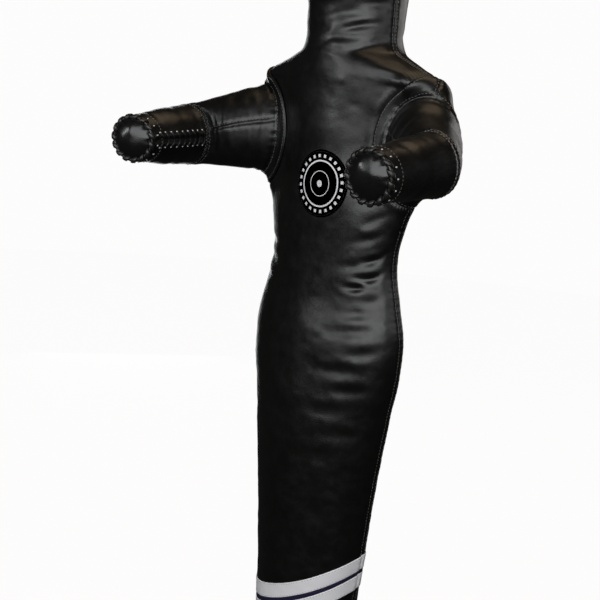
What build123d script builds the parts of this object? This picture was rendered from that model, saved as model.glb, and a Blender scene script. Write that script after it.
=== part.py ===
"""One-legged grappling dummy: stitched leather covers over firm textile filling.

Millimetres. Origin at the centre of the leg's flat bottom, +Z up. The dummy faces -Y and its own
left side is +X. Everything of the left arm is built once and mirrored for the right arm.
"""
import math
import os

from build123d import *

# ---- driving dimensions -------------------------------------------------------------------
LEATHER = 2.5  # thickness of the covers
LINER_GAP = 0.4  # play between a cover and the filling behind it
JOINT_GAP = 0.6  # play between two bodies across a joint
TRIM_GAP = 0.3  # play under laces, bands and patches

# height, half width and half depth of the trunk, from the sole to the crown
TRUNK = [
    (0, 84, 84),
    (60, 94, 88),
    (218, 110, 89),
    (400, 132, 95),
    (600, 162, 97),
    (777, 182, 90),
    (870, 168, 79),
    (936, 152, 75),
    (1010, 160, 73),
    (1090, 190, 72),
    (1150, 216, 75),
    (1200, 236, 77),
    (1240, 242, 79),
    (1268, 224, 80),
    (1290, 182, 82),
    (1308, 136, 84),
    (1328, 104, 84),
    (1351, 92, 84),
    (1400, 93, 89),
    (1470, 98, 104),
    (1530, 89, 97),
    (1566, 66, 72),
    (1590, 36, 40),
    (1600, 10, 12),
]
HEIGHT = TRUNK[-1][0]

WAIST_Z = 936
WAIST_REACH = 71  # radius of the waist's rounded top
NECK_Z = 1351
NECK_REACH = 80
NOD_FORWARD = 27  # groove left open in front of a spine joint, degrees
NOD_BACK = 17  # and behind it
FILL_RISE = 12  # the filling above a spine joint starts this far over it

SHOULDER = Vector(205, -18, 1166)
SHOULDER_WIDTH = 68  # half width of the arm's root
SHOULDER_HEIGHT = 94  # half height of the arm's root
SWING = 111  # half angle, seen from above, that the torso leaves free for the arm
BAND_WIDTH = 24  # the armhole band, round the arm's root
ARM_BAND = SHOULDER_WIDTH + BAND_WIDTH
ELBOW = Vector(312, -124, 1142)
ELBOW_R = 60
BALL_R = 56.5  # rounded end of the upper arm's filling
FOLD = 54.5  # half angle left to each sleeve on the inside of the elbow
STUMP = Vector(314, -262, 1124)
STUMP_R = 46

# share of the length, half width and half height along the upper arm
UPPER_SHAPE = [
    (0, SHOULDER_WIDTH, SHOULDER_HEIGHT),
    (0.3, 67, 84),
    (0.65, 64, 70),
    (1.0, ELBOW_R, ELBOW_R),
    (1.35, ELBOW_R - 1, ELBOW_R - 1),
]
# share of the length and radius along the forearm
FORE_SHAPE = [(-0.3, ELBOW_R + 1), (0, ELBOW_R), (0.5, 54), (1.0, STUMP_R)]
FORE_FILL_START = 20  # the forearm's filling starts this far past the elbow's centre

CAP_R = 41  # end disc of an arm
CAP_DOME = 13
CAP_EDGE = 3  # thickness of the disc at its rim
RIM_R = 4.2  # half thickness of the laced rim
LACE_R = 1.2
TONGUE_WIDTH = 24
TONGUE_THICK = 1.5
TONGUE_OVER = 8  # the back tongue's length beyond each end of its slit
TONGUE_PLAY = 1
SLIT_WIDTH = 3
SLIT_MIDDLE, SLIT_LONG, TONGUE_LONG = 0.62, 0.56, 0.62  # along the forearm, as shares of its length
SLIT_REACH = 100  # depth of the tool that cuts an arm's slit

BASE_CAP_R = 78
BASE_CAP_THICK = 6
BOARD_R = 76
BOARD_THICK = 6
BALLAST_LOW, BALLAST_HIGH, BALLAST_R = 20, 230, 62
BALLAST_ROUND = 25
BALLAST_PLAY = 1

STRIPE_TOP = 302  # height of the upper stripe's upper edge on the leg's axis
STRIPE_SLOPE_X, STRIPE_SLOPE_Y = 0.40, 0.33  # rise of the stripes towards the left and the back
STRIPE_TALL = 31
STRIPE_SPACE = 10
STRIPE_THICK = 1.2

BADGE_Z = 1078
BADGE_R = 63.5
BADGE_THICK = 1.6

BACK_SLIT_LOW, BACK_SLIT_HIGH = 1050, 1220
LACE_PITCH = 14
BACK_LACE_WIDTH = 18
ARM_LACE_WIDTH = 16
ARM_LACE_COUNT = 6
ARM_LACE_START = 57  # distance of the first lace from the elbow's centre

FAR = 900.0  # larger than the dummy's half size, for cutting tools
SLIVER = 5  # volume below which a cut-off chip is dropped


# ---- helpers --------------------------------------------------------------------------------
def unit(azimuth):
    """Horizontal direction at an azimuth in degrees from +X."""
    return Vector(math.cos(math.radians(azimuth)), math.sin(math.radians(azimuth)), 0)


def azimuth_of(direction):
    return math.degrees(math.atan2(direction.Y, direction.X))


def beyond(point, azimuth):
    """Everything on the azimuth's side of the upright plane through a point."""
    place = Location((point.X, point.Y, point.Z), (0, 0, azimuth))
    return place * Pos(FAR / 2, 0, 0) * Box(FAR, 2 * FAR, 2 * FAR)


def trunk(inset):
    """The whole trunk, legs to crown, inset from its outer face."""
    rings = [Pos(0, 0, z) * Ellipse(a - inset, b - inset) for z, a, b in TRUNK]
    return loft(rings)


def side_prism(points):
    """A prism along X from points given as (y, z)."""
    outline = make_face(Polyline([Vector(-FAR / 2, y, z) for y, z in points], close=True))
    return extrude(outline, FAR, dir=(1, 0, 0))


def cross_cylinder(z, radius):
    """A cylinder along X through the trunk's axis."""
    return Pos(0, 0, z) * Rot(0, 90, 0) * Cylinder(radius, FAR)


def drop(reach, angle):
    return reach * math.tan(math.radians(angle))


def under_joint(z):
    """Space of the body under a spine joint, with its grooves for the nod in front and behind."""
    return side_prism([
        (0, z), (-FAR / 2, z - drop(FAR / 2, NOD_FORWARD)), (-FAR / 2, -FAR / 2),
        (FAR / 2, -FAR / 2), (FAR / 2, z - drop(FAR / 2, NOD_BACK)),
    ])


def above(z):
    return Pos(0, 0, z + FAR) * Box(2 * FAR, 2 * FAR, 2 * FAR)


def front_half():
    return Pos(0, -FAR / 2 - LINER_GAP / 2, HEIGHT / 2) * Box(FAR, FAR, 2 * HEIGHT)


def back_half():
    return Pos(0, FAR / 2 + LINER_GAP / 2, HEIGHT / 2) * Box(FAR, FAR, 2 * HEIGHT)


def ring_along(start, axis, distance, half_width, half_height):
    """An elliptical section across an arm, at a distance along its axis."""
    across = Vector(-axis.Y, axis.X, 0).normalized()
    plane = Plane(origin=start + axis * distance, x_dir=across, z_dir=axis)
    return plane * Ellipse(half_width, half_height)


def solid_pieces(shape):
    """The solids of a shape, largest first, without slivers."""
    solids = sorted(shape.solids(), key=lambda s: -s.volume)
    return [s for s in solids if s.volume > SLIVER]


parts = {}


def keep(name, shape, single=True):
    """Store one node: its largest solid, or all of its solids when it is a group."""
    solids = solid_pieces(shape)
    parts[name] = solids[0] if single else Compound(children=solids)


# ---- trunk ------------------------------------------------------------------------------------
OUTER = trunk(0)
INNER = trunk(LEATHER)
FILL = trunk(LEATHER + LINER_GAP)
SHELL = OUTER - INNER
FLOOR_PLAY = 2 * RIM_R + 2 * TRIM_GAP  # height of the covers' lower edge


def leg_space():
    return under_joint(WAIST_Z) & above(FLOOR_PLAY)


def torso_space():
    hollow = cross_cylinder(WAIST_Z, WAIST_REACH + JOINT_GAP)
    return (under_joint(NECK_Z) & above(WAIST_Z)) - hollow


def head_space():
    return above(NECK_Z) - cross_cylinder(NECK_Z, NECK_REACH + JOINT_GAP)


def make_leg():
    space = leg_space()
    shell = SHELL & space
    keep("leg_front_cover", shell & front_half())
    keep("leg_back_cover", shell & back_half())

    keep("leg_end_cap", Pos(0, 0, BASE_CAP_THICK / 2) * Cylinder(BASE_CAP_R, BASE_CAP_THICK))
    rim = Pos(0, 0, RIM_R + TRIM_GAP) * Torus(BASE_CAP_R + RIM_R + TRIM_GAP, RIM_R)
    keep("leg_end_lacing", rim)
    board_z = BASE_CAP_THICK + TRIM_GAP
    keep("base_board", Pos(0, 0, board_z + BOARD_THICK / 2) * Cylinder(BOARD_R, BOARD_THICK))

    tall = BALLAST_HIGH - BALLAST_LOW
    middle = Pos(0, 0, BALLAST_LOW + tall / 2)
    bag = middle * Cylinder(BALLAST_R, tall)
    keep("ballast_bag", fillet(bag.edges(), BALLAST_ROUND))
    pocket = middle * Cylinder(BALLAST_R + BALLAST_PLAY, tall + 2 * BALLAST_PLAY)
    pocket = fillet(pocket.edges(), BALLAST_ROUND)

    dome = cross_cylinder(WAIST_Z, WAIST_REACH) & above(WAIST_Z - WAIST_REACH / 2)
    fill_space = (under_joint(WAIST_Z) + dome) & above(board_z + BOARD_THICK + TRIM_GAP)
    keep("leg_filling", (FILL & fill_space) - pocket)


def make_stripe(name, top):
    """A leather band stitched round the leg in a slanting plane."""
    normal = Vector(-STRIPE_SLOPE_X, -STRIPE_SLOPE_Y, 1).normalized()
    plane = Plane(origin=(0, 0, top), z_dir=normal)
    tall = STRIPE_TALL * normal.Z
    slab = plane * Pos(0, 0, -tall / 2) * Box(FAR / 2, FAR / 2, tall)
    keep(name, (trunk(-TRIM_GAP - STRIPE_THICK) - trunk(-TRIM_GAP)) & slab)


def shoulder_room():
    """Space that the torso leaves for the left arm's root and its swing."""
    ball = Pos(*SHOULDER) * scale(Sphere(1), (
        SHOULDER_WIDTH + JOINT_GAP,
        SHOULDER_WIDTH + JOINT_GAP,
        SHOULDER_HEIGHT + JOINT_GAP,
    ))
    axis = azimuth_of(ELBOW - SHOULDER)
    centre = Vector(SHOULDER.X, SHOULDER.Y, 0)
    corners = [centre] + [
        centre + unit(axis + turn) * (FAR / 2) for turn in (-SWING, -SWING / 2, 0, SWING / 2, SWING)
    ]
    wedge = extrude(make_face(Polyline(corners, close=True)), FAR)
    low = SHOULDER.Z - SHOULDER_HEIGHT - JOINT_GAP
    return ball + (Pos(0, 0, low) * wedge)


def make_torso():
    left_room = shoulder_room()
    room = left_room + mirror(left_room, about=Plane.YZ)
    shell = (SHELL & torso_space()) - room

    collar = Cylinder(ARM_BAND, 2 * (SHOULDER_HEIGHT + BAND_WIDTH))
    left_collar = Pos(*SHOULDER) * collar
    right_collar = mirror(left_collar, about=Plane.YZ)
    keep("left_armhole_band", shell & left_collar)
    keep("right_armhole_band", shell & right_collar)
    wide = Cylinder(ARM_BAND + TRIM_GAP, 2 * (SHOULDER_HEIGHT + BAND_WIDTH + TRIM_GAP))
    left_wide = Pos(*SHOULDER) * wide
    panels = shell - left_wide - mirror(left_wide, about=Plane.YZ)

    keep("torso_front_cover", panels & front_half())
    slit_mid = (BACK_SLIT_LOW + BACK_SLIT_HIGH) / 2
    slit_tall = BACK_SLIT_HIGH - BACK_SLIT_LOW
    slit = Pos(0, FAR / 4, slit_mid) * Box(SLIT_WIDTH, FAR / 2, slit_tall)
    keep("torso_back_cover", (panels & back_half()) - slit)

    tongue_tall = slit_tall + 2 * TONGUE_OVER
    tongue_box = Pos(0, FAR / 4, slit_mid) * Box(TONGUE_WIDTH, FAR / 2, tongue_tall)
    under = LEATHER + LINER_GAP
    tongue = (FILL - trunk(under + TONGUE_THICK)) & tongue_box
    keep("torso_back_tongue", tongue)
    play = 2 * TONGUE_PLAY
    tongue_room = Pos(0, FAR / 4, slit_mid) * Box(TONGUE_WIDTH + play, FAR / 2, tongue_tall + play)
    recess = (OUTER - trunk(under + TONGUE_THICK + LINER_GAP)) & tongue_room

    neck_dome = cross_cylinder(NECK_Z, NECK_REACH) & above(NECK_Z - NECK_REACH / 2)
    hollow = cross_cylinder(WAIST_Z, WAIST_REACH + JOINT_GAP)
    space = ((under_joint(NECK_Z) + neck_dome) & above(WAIST_Z + FILL_RISE)) - hollow
    keep("torso_filling", (FILL & space) - room - recess)

    count = int((slit_tall - LACE_PITCH) / LACE_PITCH)
    rungs = []
    for step in range(count + 1):
        z = BACK_SLIT_LOW + LACE_PITCH * (step + 0.5)
        y = depth_at(z) + LACE_R + 2 * TRIM_GAP
        rungs.append(Pos(0, y, z) * Rot(0, 90, 0) * Cylinder(LACE_R, BACK_LACE_WIDTH))
    keep("torso_back_lacing", Compound(children=rungs), single=False)


def between(z, column):
    """A TRUNK column at a height, by straight lines between the listed sections."""
    for low, high in zip(TRUNK, TRUNK[1:]):
        if low[0] <= z <= high[0]:
            share = (z - low[0]) / (high[0] - low[0])
            return low[column] + share * (high[column] - low[column])
    raise ValueError(z)


def depth_at(z):
    return between(z, 2)


def make_badge():
    """A round patch that follows the chest's front."""
    disc = Pos(0, -FAR / 4, BADGE_Z) * Rot(90, 0, 0) * Cylinder(BADGE_R, FAR / 2)
    keep("chest_badge", (trunk(-TRIM_GAP - BADGE_THICK) - trunk(-TRIM_GAP)) & disc)


def make_head():
    space = head_space()
    shell = SHELL & space
    keep("head_front_cover", shell & front_half())
    keep("head_back_cover", shell & back_half())
    fill_space = above(NECK_Z + FILL_RISE) - cross_cylinder(NECK_Z, NECK_REACH + JOINT_GAP)
    keep("head_filling", FILL & fill_space)


# ---- arms -------------------------------------------------------------------------------------
UPPER_AXIS = (ELBOW - SHOULDER).normalized()
UPPER_LONG = (ELBOW - SHOULDER).length
FORE_AXIS = (STUMP - ELBOW).normalized()
FORE_LONG = (STUMP - ELBOW).length


def upper_tube(inset):
    """The upper arm, from the shoulder's centre to just past the elbow's centre."""
    rings = [
        ring_along(SHOULDER, UPPER_AXIS, share * UPPER_LONG, wide - inset, tall - inset)
        for share, wide, tall in UPPER_SHAPE
    ]
    return loft(rings)


def fore_tube(inset):
    """The forearm, from behind the elbow's centre to the stump."""
    rings = [
        ring_along(ELBOW, FORE_AXIS, share * FORE_LONG, r - inset, r - inset)
        for share, r in FORE_SHAPE
    ]
    return loft(rings)


def elbow_sides():
    """Spaces of the upper arm and of the forearm, seen from above, about the elbow's axis."""
    back = azimuth_of(UPPER_AXIS) + 180
    ahead = azimuth_of(FORE_AXIS) + 360
    upper = beyond(ELBOW, back) & beyond(ELBOW, back + FOLD - 90)
    fore = beyond(ELBOW, ahead) & beyond(ELBOW, ahead - FOLD + 90)
    return upper, fore


def slit_box(long, width):
    """A box on the forearm's inner side, about the laced slit's middle."""
    middle = ELBOW + FORE_AXIS * (SLIT_MIDDLE * FORE_LONG)
    inward = Pos(middle.X - SLIT_REACH / 2, middle.Y, middle.Z)
    return inward * Box(SLIT_REACH, long * FORE_LONG, width)


def make_arm():
    upper_side, fore_side = elbow_sides()
    shoulder_front = beyond(SHOULDER, azimuth_of(UPPER_AXIS))

    sleeve = (upper_tube(0) - upper_tube(LEATHER)) & upper_side & shoulder_front
    sleeve_parts = {"upper_sleeve": sleeve}

    under = LEATHER + LINER_GAP
    root = Pos(*SHOULDER) * scale(Sphere(1), (SHOULDER_WIDTH, SHOULDER_WIDTH, SHOULDER_HEIGHT))
    root -= shoulder_front
    core = (upper_tube(under) & upper_side & shoulder_front) + root
    core += Pos(*ELBOW) * Sphere(BALL_R)
    sleeve_parts["upper_arm_filling"] = core

    socket = Pos(*ELBOW) * Sphere(BALL_R + JOINT_GAP)
    fore_shell = (fore_tube(0) - fore_tube(LEATHER)) & fore_side
    sleeve_parts["forearm_sleeve"] = fore_shell - slit_box(SLIT_LONG, SLIT_WIDTH) - socket

    tongue_shell = fore_tube(under) - fore_tube(under + TONGUE_THICK)
    tongue = tongue_shell & slit_box(TONGUE_LONG, TONGUE_WIDTH)
    sleeve_parts["forearm_tongue"] = (tongue & fore_side) - socket
    behind_tongue = fore_tube(under + TONGUE_THICK + LINER_GAP)
    recess = (fore_tube(0) - behind_tongue) & slit_box(TONGUE_LONG, TONGUE_WIDTH + 2 * TONGUE_PLAY)
    inside = fore_side & beyond(ELBOW + FORE_AXIS * FORE_FILL_START, azimuth_of(FORE_AXIS))
    sleeve_parts["forearm_filling"] = ((fore_tube(under) & inside) - socket) - recess

    end = Plane(origin=STUMP + FORE_AXIS * TRIM_GAP, x_dir=(1, 0, 0), z_dir=FORE_AXIS)
    curve = CAP_R**2 / (2 * (CAP_DOME - CAP_EDGE)) + (CAP_DOME - CAP_EDGE) / 2
    blank = Pos(0, 0, CAP_DOME / 2) * Cylinder(CAP_R, CAP_DOME)
    disc = blank & (Pos(0, 0, CAP_DOME - curve) * Sphere(curve))
    sleeve_parts["arm_end_cap"] = end * disc
    rim = Pos(0, 0, RIM_R) * Torus(CAP_R + RIM_R + TRIM_GAP, RIM_R)
    sleeve_parts["arm_end_lacing"] = end * rim

    rungs = []
    for step in range(ARM_LACE_COUNT):
        distance = ARM_LACE_START + LACE_PITCH * step
        place = ELBOW + FORE_AXIS * distance
        radius = ELBOW_R + distance / FORE_LONG * (STUMP_R - ELBOW_R) + LACE_R + LEATHER
        rungs.append(Pos(place.X - radius, place.Y, place.Z) * Cylinder(LACE_R, ARM_LACE_WIDTH))
    groups = {"forearm_lacing": Compound(children=rungs)}

    for name, shape in sleeve_parts.items():
        keep("left_" + name, shape)
        keep("right_" + name, mirror(shape, about=Plane.YZ))
    for name, shape in groups.items():
        keep("left_" + name, shape, single=False)
        keep("right_" + name, mirror(shape, about=Plane.YZ), single=False)


# ---- build --------------------------------------------------------------------------------------
make_leg()
make_stripe("stripe_upper", STRIPE_TOP)
make_stripe("stripe_lower", STRIPE_TOP - STRIPE_TALL - STRIPE_SPACE)
make_torso()
make_badge()
make_head()
make_arm()

os.makedirs("parts", exist_ok=True)
for name, shape in parts.items():
    export_step(shape, "parts/" + name + ".step")
    print(name, len(shape.solids()), round(sum(s.volume for s in shape.solids())))
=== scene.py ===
"""The looks of the grappling dummy: leather skins, seams, stitching, lacing and patches.

Metres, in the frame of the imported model: +Z up, the dummy faces -Y, its own left side is +X.
"""
import math

import bpy
import numpy as np
from mathutils import Matrix, Vector


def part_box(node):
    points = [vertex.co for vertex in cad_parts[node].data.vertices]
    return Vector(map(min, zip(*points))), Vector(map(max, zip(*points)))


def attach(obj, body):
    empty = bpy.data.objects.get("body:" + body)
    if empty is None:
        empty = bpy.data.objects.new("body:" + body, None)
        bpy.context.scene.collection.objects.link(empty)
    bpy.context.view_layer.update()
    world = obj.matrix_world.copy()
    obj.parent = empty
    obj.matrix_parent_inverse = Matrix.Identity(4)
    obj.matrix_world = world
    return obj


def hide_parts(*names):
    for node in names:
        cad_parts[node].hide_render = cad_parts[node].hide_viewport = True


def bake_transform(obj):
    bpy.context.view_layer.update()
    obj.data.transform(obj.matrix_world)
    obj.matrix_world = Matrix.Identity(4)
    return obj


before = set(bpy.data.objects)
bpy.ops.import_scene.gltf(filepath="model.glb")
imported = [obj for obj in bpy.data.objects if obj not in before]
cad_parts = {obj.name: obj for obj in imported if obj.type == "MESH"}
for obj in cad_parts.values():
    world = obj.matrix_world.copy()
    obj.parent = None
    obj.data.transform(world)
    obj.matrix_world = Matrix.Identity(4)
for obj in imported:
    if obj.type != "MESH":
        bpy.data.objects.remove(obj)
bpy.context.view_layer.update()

# ---- driving dimensions
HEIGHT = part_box("head_front_cover")[1].z
THICK = 0.0025  # leather
SEAM_DEPTH = 0.0022  # how far a seam sinks between its panels
SEAM_WIDTH = 0.0028
LIP_TALL, LIP_AWAY, LIP_WIDE = 0.0007, 0.008, 0.006  # the swell of the leather beside a seam
PUCKER_TALL, PUCKER_WIDE, PUCKER_PITCH = 0.0004, 0.011, 0.013  # small gathers across a seam
STITCH_PITCH = 0.0065
STITCH_LONG = 0.0040
STITCH_AWAY = 0.0045  # from a seam to the stitches beside it
THREAD_R = 0.00045
THREAD_LIFT = 0.3  # how far a thread's middle stands off the leather, in its radii

# height, half width, depth in front of the side seams, depth behind them, where the seams lie in Y,
# how square the front is (0.5 is an ellipse, less is squarer)
SECTIONS = [
    (0.0, 0.084, 0.084, 0.084, 0.0, 0.50),
    (0.060, 0.098, 0.086, 0.078, 0.003, 0.50),
    (0.218, 0.122, 0.094, 0.060, 0.012, 0.50),
    (0.400, 0.139, 0.103, 0.047, 0.015, 0.50),
    (0.600, 0.163, 0.108, 0.047, 0.012, 0.50),
    (0.777, 0.190, 0.094, 0.049, 0.008, 0.49),
    (0.870, 0.172, 0.077, 0.051, 0.005, 0.48),
    (0.936, 0.158, 0.073, 0.053, 0.003, 0.475),
    (1.010, 0.172, 0.071, 0.058, 0.0, 0.47),
    (1.090, 0.207, 0.070, 0.071, -0.003, 0.490),
    (1.150, 0.232, 0.069, 0.079, -0.004, 0.500),
    (1.200, 0.250, 0.069, 0.082, -0.004, 0.495),
    (1.240, 0.256, 0.069, 0.084, -0.004, 0.49),
    (1.268, 0.237, 0.071, 0.084, -0.003, 0.51),
    (1.290, 0.196, 0.074, 0.082, -0.001, 0.52),
    (1.308, 0.151, 0.078, 0.084, 0.002, 0.51),
    (1.328, 0.111, 0.082, 0.084, 0.004, 0.50),
    (1.351, 0.102, 0.080, 0.080, 0.004, 0.50),
    (1.400, 0.100, 0.082, 0.086, 0.004, 0.50),
    (1.470, 0.098, 0.106, 0.100, 0.003, 0.50),
    (1.530, 0.088, 0.098, 0.097, 0.001, 0.50),
    (1.566, 0.065, 0.073, 0.072, 0.0, 0.50),
    (1.590, 0.036, 0.040, 0.040, 0.0, 0.50),
    (1.600, 0.004, 0.005, 0.005, 0.0, 0.50),
]
COVER_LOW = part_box("leg_front_cover")[0].z
LOWER_TOP = 1.012  # where the lower covers are cut from the chest's, above the waist's bend
CHEST_TOP = 1.290
WAIST_BEND = (0.868, 1.004)
NECK_BEND = (1.296, 1.400)

SHOULDER = Vector((0.205, -0.018, 1.166))
HOLE_CENTRE = Vector((0.205, -0.004, 1.164))  # an armhole is the trunk's skin inside this spheroid
HOLE_RADII = (0.104, 0.098, 0.124, 0.113)  # wide, deep, above, below
HOLE_PULL = 0.020  # how far the front panel is drawn in at an armhole
HOLE_PULL_WIDE = 0.052
ROOT_CENTRE = Vector((0.215, -0.016, 1.166))  # the band's inner seam, where the sleeve begins
ROOT_FACING = Vector((0.37, -0.93, 0)).normalized()
ROOT_HALF = (0.071, 0.087)
ROOT_WAY = (0.72, -0.66, -0.16)  # the way an arm's centre line leaves the armhole
# elbow seam, stump, the way the forearm runs at the elbow, the way the end disc faces, and how much
# slimmer the sleeve is about its elbow
ARM_SHAPES = {
    "left": (
        Vector((0.312, -0.096, 1.143)), Vector((0.3215, -0.2545, 1.123)),
        (0.06, -1.0, -0.10), (0.16, -0.98, -0.10), 0.085,
    ),
    "right": (
        Vector((0.338, -0.112, 1.138)), Vector((0.316, -0.264, 1.127)),
        (-0.12, -1.0, -0.09), (-0.42, -0.90, -0.06), 0.0,
    ),
}
STUMP_R = 0.0455
CAP_DOME = 0.013

STRIPE_TOP = 0.302
STRIPE_SLOPE = (0.40, 0.33)
STRIPE_TALL = 0.031
STRIPE_SPACE = 0.010
STRIPE_THICK, EDGING_THICK = 0.0012, 0.0008
STRIPE_SWELL, STRIPE_DIP = 0.0014, 0.0005
STRIPE_SEAMS = (0.1, 0.9)  # stitched lines, as shares of a stripe's height
STRIPE_STEPS = 360
SKIN_GAP = 0.0002  # between the skin and what lies on it
BADGE_Z = 1.078
BADGE_R = 0.0635
BADGE_X = 0.020
BADGE_RINGS = ((0.0410, 0.0442), (0.0225, 0.0240), (0.0006, 0.0062))  # inner and outer radii
BADGE_DASHES = 24
DASH_RADII = (0.0492, 0.0550)
DASH_HALF = 0.055  # half a dash's length, in radians

# where the camera stands, and how it turns: down by the pitch, to its left by the aim
CAMERA_AZIMUTH = 45.0
CAMERA_DISTANCE = 2.258
CAMERA_HEIGHT = 1.256
CAMERA_PITCH = 10.4
CAMERA_AIM = 1.64
CAMERA_ROLL = 4.7
CAMERA_LENS = 70.2
CAMERA_SIDEWAYS = 0.006


# ---- small numeric helpers
def cubic(p0, m0, p1, m1, u):
    """The curve from p0 to p1 that starts with slope m0 and ends with m1, at shares u."""
    return (
        p0 * (1 + 2 * u) * (1 - u) ** 2
        + m0 * u * (1 - u) ** 2
        + p1 * u * u * (3 - 2 * u)
        + m1 * u * u * (u - 1)
    )


def bracket(steps, at):
    """The step below each place, and the share of the way from it to the next."""
    low = np.clip(np.searchsorted(steps, at) - 1, 0, len(steps) - 2)
    return low, np.clip((at - steps[low]) / (steps[low + 1] - steps[low]), 0, 1)[..., None]


def between(grid, r, v, c, d, u):
    """A grid's values between rows r and r + 1, at the share v, and columns c and d, at u."""
    low = grid[r, c] * (1 - u) + grid[r, d] * u
    high = grid[r + 1, c] * (1 - u) + grid[r + 1, d] * u
    return low * (1 - v) + high * v


def smooth_rows(rows):
    """Monotone cubic curves through table rows: returns f(x) giving the other columns."""
    rows = np.array(rows, float)
    x, y = rows[:, 0], rows[:, 1:]
    h = np.diff(x)[:, None]
    slope = np.diff(y, axis=0) / h
    tangent = np.zeros_like(y)
    tangent[0], tangent[-1] = slope[0], slope[-1]
    same = slope[:-1] * slope[1:] > 0
    wide = 2 * h[1:] + h[:-1]
    narrow = h[1:] + 2 * h[:-1]
    with np.errstate(divide="ignore", invalid="ignore"):
        mean = (wide + narrow) / (wide / slope[:-1] + narrow / slope[1:])
    tangent[1:-1] = np.where(same, mean, 0)

    def curve(at):
        k, u = bracket(x, np.asarray(at, float))
        span = (x[k + 1] - x[k])[..., None]
        return cubic(y[k], tangent[k] * span, y[k + 1], tangent[k + 1] * span, u)

    return curve


def ease(x):
    x = np.clip(x, 0, 1)
    return x * x * (3 - 2 * x)


def around(count):
    """Angles of a full turn in even steps."""
    return np.linspace(0, 2 * math.pi, count + 1)[:-1]


def normalise(v):
    return v / np.maximum(np.linalg.norm(v, axis=-1, keepdims=True), 1e-12)


def square_to(v, way):
    """Unit vectors of v without what lies along the unit vectors way."""
    return normalise(v - (v * way).sum(1, keepdims=True) * way)


def grid_normals(points, wrap):
    """Unit normals of a grid of points [row, around]; which side they face depends on its turn."""
    if wrap:
        across = np.roll(points, -1, 1) - np.roll(points, 1, 1)
    else:
        across = np.gradient(points, axis=1)
    return normalise(np.cross(across, np.gradient(points, axis=0)))


def turned_to(normals, ways):
    """The normals, all turned over if they face against the ways."""
    return -normals if (normals * ways).sum() < 0 else normals


def lattice(points, scale, seed):
    """Smooth value noise between -1 and 1 at points, cell size 1 / scale."""
    size = 32
    table = np.random.default_rng(seed).uniform(-1, 1, (size, size, size))
    p = points * scale + 100
    cell = np.floor(p).astype(int)
    f = p - cell
    f = f * f * (3 - 2 * f)
    total = 0
    for corner in np.ndindex(2, 2, 2):
        weight = np.where(corner, f, 1 - f)
        i = (cell + corner) % size
        total = total + (
            weight[..., 0] * weight[..., 1] * weight[..., 2] * table[i[..., 0], i[..., 1], i[..., 2]]
        )
    return total


# ---- meshes
def new_object(name, vertices, faces, material):
    mesh = bpy.data.meshes.new(name)
    mesh.from_pydata(np.asarray(vertices).reshape(-1, 3).tolist(), [], faces)
    mesh.validate()
    mesh.polygons.foreach_set("use_smooth", [True] * len(mesh.polygons))
    mesh.materials.append(material)
    obj = bpy.data.objects.new(name, mesh)
    bpy.context.scene.collection.objects.link(obj)
    return obj


def grid_faces(rows, columns, wrap, offset=0):
    faces = []
    last = columns if wrap else columns - 1
    for r in range(rows - 1):
        for c in range(last):
            d = (c + 1) % columns
            a = offset + r * columns
            b = a + columns
            faces.append((a + c, a + d, b + d, b + c))
    return faces


def closed_sheet(name, outer, wrap, material, normals, thick):
    """A sheet with a real inner face and rims, from its outer grid and normals."""
    rows, columns = outer.shape[:2]
    count = rows * columns
    faces = grid_faces(rows, columns, wrap)
    faces += [tuple(reversed(f)) for f in grid_faces(rows, columns, wrap, count)]
    top = count - columns
    for c in range(columns if wrap else columns - 1):
        d = (c + 1) % columns
        faces.append((d, c, count + c, count + d))
        faces.append((top + c, top + d, count + top + d, count + top + c))
    if not wrap:
        for a in range(0, top, columns):
            b = a + columns
            faces.append((a, b, count + b, count + a))
            a, b = a + columns - 1, b + columns - 1
            faces.append((b, a, count + a, count + b))
    inner = outer - normals * thick
    both = np.concatenate([outer.reshape(-1, 3), inner.reshape(-1, 3)])
    obj = new_object(name, both, faces, material)
    flat = normals.reshape(-1, 3)
    obj.data.normals_split_custom_set_from_vertices(np.concatenate([flat, -flat]).tolist())
    return obj


def bead_template():
    """A rounded bead of length 2 along X and radius 1: an end, three rings of six and an end."""
    sides, rings = 6, 3
    verts = [(-1, 0, 0)]
    for r in range(1, rings + 1):
        angle = math.pi * r / (rings + 1)
        x, radius = -math.cos(angle) * 0.92, math.sin(angle) ** 0.5
        for turn in (2 * math.pi * s / sides for s in range(sides)):
            verts.append((x, radius * math.cos(turn), radius * math.sin(turn)))
    verts.append((1, 0, 0))
    faces = []
    for s in range(sides):
        t = (s + 1) % sides
        faces.append((0, 1 + t, 1 + s))
        for a in range(1, 1 + (rings - 1) * sides, sides):
            faces.append((a + s, a + t, a + sides + t, a + sides + s))
        a = 1 + (rings - 1) * sides
        faces.append((a + sides, a + s, a + t))
    return np.array(verts), faces


BEAD, BEAD_FACES = bead_template()


def beads(name, centres, directions, normals, size, material):
    """Many small rounded beads, size (half length, half width, half height)."""
    centres = np.asarray(centres).reshape(-1, 3)
    d = normalise(np.asarray(directions).reshape(-1, 3))
    n = square_to(np.asarray(normals).reshape(-1, 3), d)
    side = np.cross(n, d)
    local = BEAD * np.array(size)
    verts = (
        centres[:, None]
        + local[None, :, :1] * d[:, None]
        + local[None, :, 1:2] * side[:, None]
        + local[None, :, 2:] * n[:, None]
    )
    faces = []
    for k in range(len(centres)):
        faces += [tuple(k * len(BEAD) + i for i in f) for f in BEAD_FACES]
    return new_object(name, verts, faces, material)


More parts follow.
